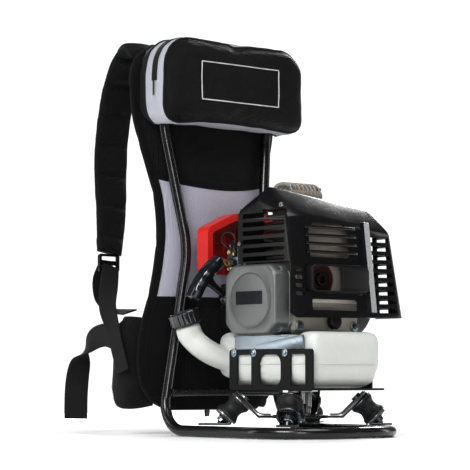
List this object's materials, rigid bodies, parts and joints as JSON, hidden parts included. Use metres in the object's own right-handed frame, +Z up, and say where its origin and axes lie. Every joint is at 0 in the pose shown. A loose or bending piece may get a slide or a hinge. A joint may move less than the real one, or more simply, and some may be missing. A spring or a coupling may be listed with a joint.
{
  "type": "backpack concrete vibrator",
  "caption": "Petrol drive unit of a concrete vibrator, on a bent-tube backpack frame with a padded back panel, straps, head pouch and rubber-mounted swivel.",
  "frame": {"origin": "on the ground under the middle of the machine's bounding box", "axes": "+Z up, -Y towards the engine's muffler side and away from the wearer, +Y towards the wearer, -X on the side of the starter and the fuel cap, +X along the output shaft"},
  "size_m": [0.2763, 0.4572, 0.536],
  "materials": {
    "aluminium": "satin die-cast aluminium",
    "brass": "brass",
    "cast_aluminium": "raw cast aluminium",
    "ceramic": "white glazed ceramic",
    "fabric_black": "black padded nylon",
    "fabric_grey": "light grey polyester over foam",
    "frame_black": "gloss black powder coat",
    "plastic_black": "black moulded plastic",
    "plastic_gloss": "gloss black plastic",
    "plastic_red": "red moulded plastic",
    "rubber": "black rubber",
    "steel": "bare steel",
    "tank_white": "translucent white polyethylene",
    "webbing_black": "black woven webbing",
    "zinc": "zinc plated steel"
  },
  "bodies": {
    "carrier": {"frame_tube": "frame_black", "back_plate": "plastic_black", "back_pad": "fabric_grey", "head_pouch": "fabric_black", "shoulder_strap_left": "fabric_black", "shoulder_strap_right": "fabric_black", "strap_webbing_left": "webbing_black", "strap_webbing_right": "webbing_black", "strap_tail_left": "webbing_black", "strap_tail_right": "webbing_black", "strap_buckle_left": "plastic_black", "strap_buckle_right": "plastic_black", "hip_pad_left": "fabric_black", "hip_pad_right": "fabric_black", "hip_webbing_left": "webbing_black", "hip_webbing_right": "webbing_black", "spider_plate": "frame_black", "buffer_front_left": "rubber", "buffer_front_right": "rubber", "buffer_rear_left": "rubber", "buffer_rear_right": "rubber", "buffer_bolt_front_left": "zinc", "buffer_bolt_front_right": "zinc", "buffer_bolt_rear_left": "zinc", "buffer_bolt_rear_right": "zinc", "base_bracket_front_left": "frame_black", "base_bracket_front_right": "frame_black", "base_bracket_rear_left": "frame_black", "base_bracket_rear_right": "frame_black"},
    "engine": {"pivot_shaft": "steel", "cradle": "frame_black", "fuel_tank": "tank_white", "engine_plate": "zinc", "crankcase": "cast_aluminium", "starter_cover": "aluminium", "rope_guide": "plastic_black", "fan_housing": "plastic_black", "clutch_housing": "aluminium", "output_coupling": "zinc", "cylinder": "cast_aluminium", "rocker_cover": "cast_aluminium", "spark_plug": "ceramic", "muffler": "steel", "muffler_guard": "plastic_black", "exhaust_nozzle": "plastic_black", "carburettor": "zinc", "air_filter_box": "plastic_black", "rear_cover": "plastic_red"},
    "lock_pin": {"lock_pin": "steel"},
    "fuel_cap": {"fuel_cap": "plastic_black"},
    "oil_cap": {"oil_cap": "plastic_black"},
    "crank": {"crankshaft": "steel", "flywheel": "cast_aluminium"},
    "recoil_pulley": {"recoil_pulley": "plastic_black"},
    "starter_grip": {"starter_grip": "plastic_gloss"},
    "clutch_drum": {"clutch_drum": "steel"},
    "throttle_lever": {"throttle_lever": "brass"},
    "choke_lever": {"choke_lever": "plastic_black"},
    "primer_bulb": {"primer_bulb": "rubber"},
    "plug_cap": {"plug_cap": "rubber"}
  },
  "joints": [
    {"name": "engine_swivel", "type": "hinge", "parent": "carrier", "child": "engine", "pos_m": [-0.001, -0.117, 0.03], "axis": [0, 0, 1], "range_deg": [0, 45]},
    {"name": "lock_pin_press", "type": "slide", "parent": "engine", "child": "lock_pin", "axis": [0, 0, -1], "range_m": [0, 0.006], "stiffness_N_per_m": 300, "springref_m": -0.004},
    {"name": "fuel_cap_turn", "type": "hinge", "parent": "engine", "child": "fuel_cap", "pos_m": [-0.105, -0.007, 0.154], "axis": [-0.2807, 0.1203, 0.9522], "range_deg": [0, 360]},
    {"name": "oil_cap_turn", "type": "hinge", "parent": "engine", "child": "oil_cap", "pos_m": [0.019, -0.1574, 0.148], "axis": [0, -1, 0], "range_deg": [0, 360]},
    {"name": "crank_spin", "type": "hinge", "parent": "engine", "child": "crank", "pos_m": [-0.001, -0.108, 0.176], "axis": [1, 0, 0], "continuous": true},
    {"name": "recoil_pull", "type": "slide", "parent": "engine", "child": "starter_grip", "axis": [-0.8246, 0, 0.5657], "range_m": [0, 0.45], "stiffness_N_per_m": 20, "springref_m": -0.2},
    {"name": "recoil_turn", "type": "hinge", "parent": "engine", "child": "recoil_pulley", "pos_m": [-0.071, -0.108, 0.176], "axis": [-1, 0, 0], "range_deg": [0, 860]},
    {"name": "output_spin", "type": "hinge", "parent": "engine", "child": "clutch_drum", "pos_m": [0.109, -0.108, 0.176], "axis": [1, 0, 0], "continuous": true},
    {"name": "throttle_turn", "type": "hinge", "parent": "engine", "child": "throttle_lever", "pos_m": [-0.053, -0.034, 0.226], "axis": [1, 0, 0], "range_deg": [0, 60], "stiffness_Nm_per_rad": 0.02, "springref_deg": -22.92},
    {"name": "choke_turn", "type": "hinge", "parent": "engine", "child": "choke_lever", "pos_m": [-0.053, -0.045, 0.238], "axis": [1, 0, 0], "range_deg": [0, 70]},
    {"name": "primer_press", "type": "slide", "parent": "engine", "child": "primer_bulb", "axis": [0, 0, 1], "range_m": [0, 0.003], "stiffness_N_per_m": 300, "springref_m": -0.002},
    {"name": "plug_cap_pull", "type": "slide", "parent": "engine", "child": "plug_cap", "axis": [1, 0, 0], "range_m": [0, 0.015]}
  ],
  "couplings": [
    {"joint": "recoil_turn", "follows": "recoil_pull", "rad_per_m": 33.333}
  ]
}
